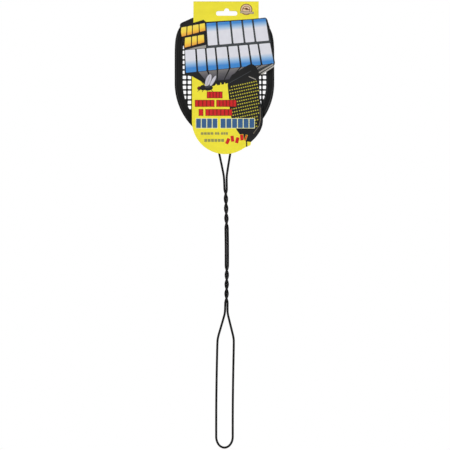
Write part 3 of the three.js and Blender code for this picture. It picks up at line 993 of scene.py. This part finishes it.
def pictured_holes():
    """Rows of holes on both sides of the pictured head's spine, inside its grid."""
    field = [(3.2, -85.8), (2.9, -100), (6.2, -122), (20.5, -135.5), (34.2, -133.5), (36.6, -122)]
    field += [(35.8, -84), (34.2, -79.6)]
    across = (math.cos(PICTURE_LEAN), math.sin(PICTURE_LEAN))
    reach = (PICTURE_HOLE_HALF_LENGTH * across[0], PICTURE_HOLE_HALF_LENGTH * across[1])
    holes = []
    for row in range(-5, 16):
        for column in range(-4, 13):
            spine = math.copysign(PICTURE_SPINE_HALF_WIDTH, column + 0.5)
            u = (column + 0.5) * PICTURE_PITCH_ACROSS + spine
            v = -row * PICTURE_PITCH_DOWN
            x = PICTURE_SPINE_TOP[0] + u * across[0] - v * across[1]
            z = PICTURE_SPINE_TOP[1] + u * across[1] + v * across[0]
            if is_inside(x, z, field):
                start = (x - reach[0], z - reach[1])
                end = (x + reach[0], z + reach[1])
                holes.append(stroke(start, end, PICTURE_HOLE_WIDTH))
    return holes


def pictured_swatter():
    """A picture of a plain swatter head, leaning to the left, whose holes show the yellow."""
    body = [(1.1, -86.6), (2.0, -81.6), (5.6, -75.6), (19.3, -66.9)]
    body += curve((24.0, -64.2), (29.5, -61.6), (33.2, -66.0))
    body += [(37.1, -74.1), (CARD_REACH, -80), (CARD_REACH, -130)]
    body += [(31, -149), (27.6, -151.1), (21.5, -150.4)]
    body += curve((21.5, -150.4), (12.8, -141.5), (8.3, -132.0), steps=6)
    body += curve((8.3, -132.0), (3.4, -121.5), (2.7, -103.5), steps=6)
    parts = [("ink_black", body), ("ink_black", stroke((22.3, -149.5), (22.9, -160), 1.5))]
    parts += [("ink_hole_yellow", hole) for hole in pictured_holes()]
    parts.append(("ink_dark_grey", stroke((3.4, -84.2), (27.5, -70.8), 0.5)))
    parts.append(("ink_light_grey", stroke((25.0, -77.2), (33.0, -80.6), 0.9)))
    highlight = [(37.7, -112), (38.0, -126.6), (36.6, -132.9), (30.1, -141.7)]
    for start, end in zip(highlight, highlight[1:]):
        parts.append(("ink_mauve_grey", stroke(start, end, 0.4)))
    return parts


def side_stripes():
    """Grey stripes along the die-cut edge at the lower right."""
    return [
        ("ink_black", [(34, -82), (34, -70), (50.5, -62.0), (58, -64)]),
        ("ink_light_grey", stroke((34, -74.2), (52.6, -63.4), 1.7)),
        ("ink_dark_grey", stroke((34, -71.6), (48.8, -63.4), 0.6)),
        ("ink_silver", stroke((34, -78.0), (55.0, -64.4), 1.6)),
    ]


def red_rows():
    """Rows given by left, right, bottom, top and number of blocks, on a darker ground."""
    rows = [
        (-22.2, -4.9, -101.5, -94.4, 5), (-35.7, -14.0, -111.2, -103.8, 5),
        (-11.5, 10.8, -111.2, -103.8, 6), (-31.4, -26.6, -121.4, -114.2, 1),
        (-23.8, 6.1, -121.4, -114.2, 7),
    ]
    parts = []
    for left, right, bottom, top, count in rows:
        row = rectangle(left, right, bottom, top)
        parts.append(("ink_dark_red", grown(row, 0.25)))
        for block in blocks_in_row(row, [3.2] * count, 0.35):
            parts.append(("ink_red", grown(block, -0.35)))
    return parts


def blue_rows():
    """Two groups of tall blocks with a pale outline."""
    parts = []
    for left, right, count in [(-34.4, -10.6, 4), (-6.8, 31.2, 6)]:
        row = rectangle(left, right, -135.2, -124.8)
        parts.append(("ink_pale_yellow", rounded(grown(row, 0.6), 0.6)))
        for block in blocks_in_row(row, [5] * count, 0.9):
            parts.append(("ink_slate_blue", rounded(block, 0.6)))
    return parts


def grey_rows():
    """Two lines of small blocks."""
    rows = [
        (-29.2, -15.2, -142.9, -140.1, 4), (-13.2, -8.4, -142.9, -140.1, 2),
        (-6.4, 1.4, -142.9, -140.1, 3), (-25.2, -3.0, -151.0, -147.6, 6),
    ]
    parts = []
    for left, right, bottom, top, count in rows:
        for block in blocks_in_row(rectangle(left, right, bottom, top), [3] * count, 0.6):
            parts.append(("ink_text_grey", block))
    return parts


def tilted_blocks():
    """Four blocks and a narrow bar, each given by its centre, tilt in degrees and width."""
    half_height = 3.3
    blocks = [
        (1.2, -150.2, 24, 3.6), (6.4, -147.4, -8, 3.6), (11.9, -149.2, 14, 3.6),
        (17.0, -146.0, -6, 3.6), (21.6, -146.4, 20, 1.6),
    ]
    parts = []
    for x, z, tilt, width in blocks:
        lean = math.radians(90 - tilt)
        reach = (half_height * math.cos(lean), half_height * math.sin(lean))
        block = stroke((x - reach[0], z - reach[1]), (x + reach[0], z + reach[1]), width)
        parts.append(("ink_yellow", grown(block, 0.3)))
        parts.append(("ink_red", block))
    return parts


def front_print():
    """Every inked shape on the front leaf, each painted over the ones before it."""
    parts = title_background() + title_print() + side_stripes() + pictured_swatter()
    parts += emblem_print() + seal_print() + fly_print()
    parts += red_rows() + blue_rows() + grey_rows() + tilted_blocks()
    return parts


# ---- Header card: back print ----

def on_back(z):
    """Where a height on the back leaf lies on the unfolded sheet."""
    return 2 * FOLD_Z + FOLD_LENGTH - z


def flipped(outline):
    """An outline on the front, moved to the same heights on the back leaf."""
    return [(x, on_back(z)) for x, z in reversed(outline)]


def back_print():
    """A white panel with rows of small grey blocks and a block of plain bars."""
    parts = [("ink_black", rectangle(-CARD_REACH, CARD_REACH, -30, -19))]
    parts.append(("ink_white", rounded(rectangle(-31, 29.6, -96, -35), 3)))
    for row in range(9):
        z = -41 - 4.2 * row
        count = 6 if row % 4 == 3 else 10
        right = 3 if count == 6 else 25
        blocks = blocks_in_row(rectangle(-27, right, z - 0.6, z + 0.6), [4] * count, 0.8)
        parts += [("ink_dark_grey", block) for block in blocks]
    for bar in range(16):
        width = 0.5 + 0.35 * (bar * 7 % 3)
        left = -13 + 1.7 * bar
        parts.append(("ink_black", rectangle(left, left + width, -92, -81)))
    for block in blocks_in_row(rectangle(-30, 29, -27, -22), [6] * 7, 1.4):
        parts.append(("ink_yellow", rounded(block, 0.6)))
    return [(ink, flipped(outline)) for ink, outline in parts]


# ---- Header card: sheet ----

def card_outline():
    """The die-cut sheet, unfolded: the front leaf below the fold and the back leaf above it."""
    outline = [(TAB_LEFT_X, -10.4), (-50.6, -16.2)]
    outline += curve((-50.6, -16.2), (-53.2, -17.6), (-52.9, -20.4))
    outline += [(-47.8, -47), (-47.5, -74.6), (-39.2, -77.5)]
    outline += arc(*BOTTOM_ARC_CENTRE, BOTTOM_ARC_SIZE, 180, 306, steps=56)
    outline += [(26.9, -154.7), (27.5, -151)]
    outline += curve((27.5, -151), (41.6, -139), (41, -125), steps=18)
    outline += curve((41, -125), (40.4, -113), (37.4, -103), steps=12)
    outline += [(36.6, -77.2), (53.4, -66.2), (54.5, -61.7), (48.6, -21.5), (46.5, -15)]
    outline += curve((46.5, -15), (45.6, -10.3), (42.4, -10.6))
    outline += [(TAB_RIGHT_X, -11.5)]
    outline += arc(TAB_RIGHT_X - BACK_CORNER, on_back(BACK_END_Z) - BACK_CORNER, BACK_CORNER, 0, 90)
    outline += arc(TAB_LEFT_X + BACK_CORNER, on_back(BACK_END_Z) - BACK_CORNER, BACK_CORNER, 90, 180)
    return outline


def hang_slot():
    """The punched slot: a bar with rounded ends and a round notch in its top."""
    reach = SLOT_HALF_LENGTH - SLOT_CORNER
    low = SLOT_BOTTOM_Z + SLOT_CORNER
    high = SLOT_TOP_Z - SLOT_CORNER
    outline = arc(-reach, high, SLOT_CORNER, 90, 180, 6) + arc(-reach, low, SLOT_CORNER, 180, 270, 6)
    outline += arc(reach, low, SLOT_CORNER, 270, 360, 6) + arc(reach, high, SLOT_CORNER, 0, 90, 6)
    return outline + arc(0, -NOTCH_RADIUS, NOTCH_RADIUS, 0, 180, 20)


def ease(start, end, value):
    """0 up to start, 1 from end on, and a smooth rise between them."""
    share = min(1, max(0, (value - start) / (end - start)))
    return share * share * (3 - 2 * share)


def sheet_place(t):
    """Where the printed face lies, as y and z, at distance t along the unfolded sheet."""
    angle = (t - FOLD_Z) / FOLD_RADIUS
    if 0 < angle < math.pi:
        return -FOLD_RADIUS * math.cos(angle), FOLD_Z + FOLD_RADIUS * math.sin(angle)
    if angle <= 0:
        flare = (FRONT_FACE - FOLD_RADIUS) * ease(FLARE_TOP_Z, FLARE_END_Z, t)
        lean = (FRONT_NECK_FACE - FRONT_FACE) * ease(FLARE_END_Z, FRONT_NECK_Z, t)
        return -FOLD_RADIUS - flare - lean, t
    z = on_back(t)
    return FOLD_RADIUS + (BACK_FACE - FOLD_RADIUS) * ease(FLARE_TOP_Z, FLARE_END_Z, z), z


def wing_curl(x, t):
    """How far the front leaf's free sides stand forward."""
    free = ease(CURL_START_Z, CURL_FULL_Z, t) * (1 - ease(CURL_FADE_Z, FRONT_NECK_Z, t))
    return CURL_DEPTH * (x / CURL_HALF_WIDTH) ** 2 * free


def card_point(x, t, depth):
    """A point of the folded card, at x and t on the sheet and depth below its printed face."""
    step = 0.01
    y, z = sheet_place(t)
    y_before, z_before = sheet_place(t - step)
    y_after, z_after = sheet_place(t + step)
    length = math.hypot(y_after - y_before, z_after - z_before)
    out_y = (z_before - z_after) / length
    out_z = (y_after - y_before) / length
    y -= wing_curl(x, t) if t < FOLD_Z else 0
    return Vector((x, y - depth * out_y, z - depth * out_z)) * MM


def sheet_lines():
    """Lines across and along the sheet that give it points to bend at."""
    heights = [FOLD_Z + FOLD_LENGTH * i / FOLD_STEPS for i in range(FOLD_STEPS + 1)]
    flare_length = FLARE_END_Z - FLARE_TOP_Z
    flare = [FLARE_TOP_Z + flare_length * i / FLARE_STEPS for i in range(FLARE_STEPS + 1)]
    heights += flare + [on_back(z) for z in flare]
    bottom = BOTTOM_ARC_CENTRE[1] - BOTTOM_ARC_SIZE
    z = FLARE_END_Z - SHEET_LINE_SPACING
    while z > bottom:
        heights += [z, on_back(z)]
        z -= SHEET_LINE_SPACING
    lines = [((-SHEET_LINE_REACH, t), (SHEET_LINE_REACH, t)) for t in heights]
    top = on_back(BACK_END_Z) + SHEET_LINE_MARGIN
    for i in range(-SHEET_SIDE_LINES, SHEET_SIDE_LINES + 1):
        x = i * SHEET_LINE_SPACING
        lines.append(((x, bottom - SHEET_LINE_MARGIN), (x, top)))
    return lines


def make_card():
    """The folded, printed and punched card as one closed sheet of board."""
    inks = card_inks()
    ink_index = {ink.name: i for i, ink in enumerate(inks)}
    outlines = [card_outline()]
    outline_ink = [ink_index["ink_yellow"]]
    for ink, outline in front_print() + back_print():
        outlines.append(outline)
        outline_ink.append(ink_index[ink])
    hole_ids = {len(outlines), len(outlines) + 1}
    outlines += [hang_slot(), flipped(hang_slot())]
    points, triangles, sources, _ = triangulate_outlines(outlines, sheet_lines(), 1e-4)
    bm = bmesh.new()
    outer = [bm.verts.new(card_point(p.x, p.y, 0)) for p in points]
    inner = [bm.verts.new(card_point(p.x, p.y, CARD_THICKNESS)) for p in points]
    board = []
    top_ink = []
    for triangle, inside in zip(triangles, sources):
        if 0 in inside and hole_ids.isdisjoint(inside):
            board.append(triangle)
            top_ink.append(outline_ink[max(inside)])
    printed, unprinted, cut_edges = close_plate(bm, board, outer, inner)
    for face, ink in zip(printed, top_ink):
        face.material_index = ink
    for face in unprinted:
        face.material_index = ink_index["board_inside"]
    for face in cut_edges:
        face.material_index = ink_index["board_edge"]
    mesh = finished_mesh(bm, "card", 35, inks)
    card = link_piece("printed_card", mesh, "hang_card")
    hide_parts("header_card")


# ---- Build ----

bpy.context.scene.view_settings.view_transform = "Standard"
make_camera()
make_world()
for light in LIGHTS:
    make_light(*light)
make_floor()

plastic = black_plastic()
head = make_head()
make_neck()
make_socket("socket_left", -1)
make_socket("socket_right", 1)
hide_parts("paddle")
make_wire()
make_card()
